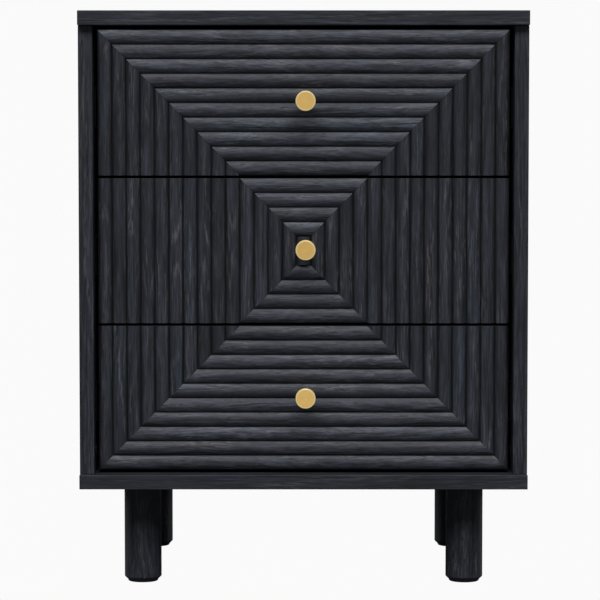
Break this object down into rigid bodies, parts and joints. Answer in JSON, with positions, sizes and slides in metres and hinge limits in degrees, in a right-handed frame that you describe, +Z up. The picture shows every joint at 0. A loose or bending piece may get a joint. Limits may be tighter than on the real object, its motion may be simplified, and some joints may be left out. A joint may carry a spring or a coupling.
{
  "type": "nightstand",
  "caption": "Bedside cabinet in black-stained wood with drawers behind a reeded front, round brass knobs and turned legs.",
  "frame": {"origin": "on the floor, under the centre of the object's box, knobs included", "axes": "+Z up, the drawers open towards -Y, +X to the right as seen from the front"},
  "size_m": [0.5, 0.406, 0.645],
  "materials": {
    "stained_wood": "satin black stain over open grain",
    "stained_reeds": "satin black stain over open grain",
    "stained_leg": "satin black stain over open grain",
    "black_board": "matt black",
    "drawer_board": "matt black foil with a fine grain",
    "knob_brass": "satin",
    "runner_steel": "blackened",
    "cage_steel": "bright",
    "screw_steel": "zinc plated",
    "cam_zinc": "cast zinc",
    "dowel_beech": "fluted, unfinished",
    "glide_plastic": "matt"
  },
  "bodies": {
    "carcass": {"top_panel": "stained_wood", "bottom_panel": "stained_wood", "left_side_panel": "stained_wood", "right_side_panel": "stained_wood", "back_panel": "black_board", "back_panel_screws": "screw_steel", "front_left_leg": "stained_leg", "front_right_leg": "stained_leg", "rear_left_leg": "stained_leg", "rear_right_leg": "stained_leg", "leg_bolts": "screw_steel", "leg_inserts": "screw_steel", "leg_glides": "glide_plastic", "dowels": "dowel_beech", "cam_bolts": "screw_steel", "cam_locks": "cam_zinc", "cabinet_rail_screws": "screw_steel", "bottom_drawer_cabinet_rails": "runner_steel", "middle_drawer_cabinet_rails": "runner_steel", "top_drawer_cabinet_rails": "runner_steel"},
    "bottom_drawer": {"bottom_drawer_front_board": "black_board", "bottom_drawer_reeds": "stained_reeds", "bottom_drawer_knob": "knob_brass", "bottom_drawer_left_side": "drawer_board", "bottom_drawer_right_side": "drawer_board", "bottom_drawer_back": "drawer_board", "bottom_drawer_bottom": "drawer_board", "bottom_drawer_cams": "cam_zinc", "bottom_drawer_screws": "screw_steel", "bottom_drawer_rails": "runner_steel"},
    "bottom_drawer_outer_ball_cages": {"bottom_drawer_outer_ball_cages": "cage_steel"},
    "bottom_drawer_middle_rails": {"bottom_drawer_middle_rails": "runner_steel"},
    "bottom_drawer_inner_ball_cages": {"bottom_drawer_inner_ball_cages": "cage_steel"},
    "middle_drawer": {"middle_drawer_front_board": "black_board", "middle_drawer_reeds": "stained_reeds", "middle_drawer_knob": "knob_brass", "middle_drawer_left_side": "drawer_board", "middle_drawer_right_side": "drawer_board", "middle_drawer_back": "drawer_board", "middle_drawer_bottom": "drawer_board", "middle_drawer_cams": "cam_zinc", "middle_drawer_screws": "screw_steel", "middle_drawer_rails": "runner_steel"},
    "middle_drawer_outer_ball_cages": {"middle_drawer_outer_ball_cages": "cage_steel"},
    "middle_drawer_middle_rails": {"middle_drawer_middle_rails": "runner_steel"},
    "middle_drawer_inner_ball_cages": {"middle_drawer_inner_ball_cages": "cage_steel"},
    "top_drawer": {"top_drawer_front_board": "black_board", "top_drawer_reeds": "stained_reeds", "top_drawer_knob": "knob_brass", "top_drawer_left_side": "drawer_board", "top_drawer_right_side": "drawer_board", "top_drawer_back": "drawer_board", "top_drawer_bottom": "drawer_board", "top_drawer_cams": "cam_zinc", "top_drawer_screws": "screw_steel", "top_drawer_rails": "runner_steel"},
    "top_drawer_outer_ball_cages": {"top_drawer_outer_ball_cages": "cage_steel"},
    "top_drawer_middle_rails": {"top_drawer_middle_rails": "runner_steel"},
    "top_drawer_inner_ball_cages": {"top_drawer_inner_ball_cages": "cage_steel"}
  },
  "joints": [
    {"name": "bottom_drawer_slide", "type": "slide", "parent": "carcass", "child": "bottom_drawer", "axis": [0, -1, 0], "range_m": [0, 0.29]},
    {"name": "bottom_drawer_outer_ball_cages_slide", "type": "slide", "parent": "carcass", "child": "bottom_drawer_outer_ball_cages", "axis": [0, -1, 0], "range_m": [0, 0.0725]},
    {"name": "bottom_drawer_middle_rails_slide", "type": "slide", "parent": "carcass", "child": "bottom_drawer_middle_rails", "axis": [0, -1, 0], "range_m": [0, 0.145]},
    {"name": "bottom_drawer_inner_ball_cages_slide", "type": "slide", "parent": "carcass", "child": "bottom_drawer_inner_ball_cages", "axis": [0, -1, 0], "range_m": [0, 0.2175]},
    {"name": "middle_drawer_slide", "type": "slide", "parent": "carcass", "child": "middle_drawer", "axis": [0, -1, 0], "range_m": [0, 0.29]},
    {"name": "middle_drawer_outer_ball_cages_slide", "type": "slide", "parent": "carcass", "child": "middle_drawer_outer_ball_cages", "axis": [0, -1, 0], "range_m": [0, 0.0725]},
    {"name": "middle_drawer_middle_rails_slide", "type": "slide", "parent": "carcass", "child": "middle_drawer_middle_rails", "axis": [0, -1, 0], "range_m": [0, 0.145]},
    {"name": "middle_drawer_inner_ball_cages_slide", "type": "slide", "parent": "carcass", "child": "middle_drawer_inner_ball_cages", "axis": [0, -1, 0], "range_m": [0, 0.2175]},
    {"name": "top_drawer_slide", "type": "slide", "parent": "carcass", "child": "top_drawer", "axis": [0, -1, 0], "range_m": [0, 0.29]},
    {"name": "top_drawer_outer_ball_cages_slide", "type": "slide", "parent": "carcass", "child": "top_drawer_outer_ball_cages", "axis": [0, -1, 0], "range_m": [0, 0.0725]},
    {"name": "top_drawer_middle_rails_slide", "type": "slide", "parent": "carcass", "child": "top_drawer_middle_rails", "axis": [0, -1, 0], "range_m": [0, 0.145]},
    {"name": "top_drawer_inner_ball_cages_slide", "type": "slide", "parent": "carcass", "child": "top_drawer_inner_ball_cages", "axis": [0, -1, 0], "range_m": [0, 0.2175]}
  ],
  "couplings": [
    {"joint": "bottom_drawer_outer_ball_cages_slide", "follows": "bottom_drawer_slide", "ratio": 0.25},
    {"joint": "bottom_drawer_middle_rails_slide", "follows": "bottom_drawer_slide", "ratio": 0.5},
    {"joint": "bottom_drawer_inner_ball_cages_slide", "follows": "bottom_drawer_slide", "ratio": 0.75},
    {"joint": "middle_drawer_outer_ball_cages_slide", "follows": "middle_drawer_slide", "ratio": 0.25},
    {"joint": "middle_drawer_middle_rails_slide", "follows": "middle_drawer_slide", "ratio": 0.5},
    {"joint": "middle_drawer_inner_ball_cages_slide", "follows": "middle_drawer_slide", "ratio": 0.75},
    {"joint": "top_drawer_outer_ball_cages_slide", "follows": "top_drawer_slide", "ratio": 0.25},
    {"joint": "top_drawer_middle_rails_slide", "follows": "top_drawer_slide", "ratio": 0.5},
    {"joint": "top_drawer_inner_ball_cages_slide", "follows": "top_drawer_slide", "ratio": 0.75}
  ]
}
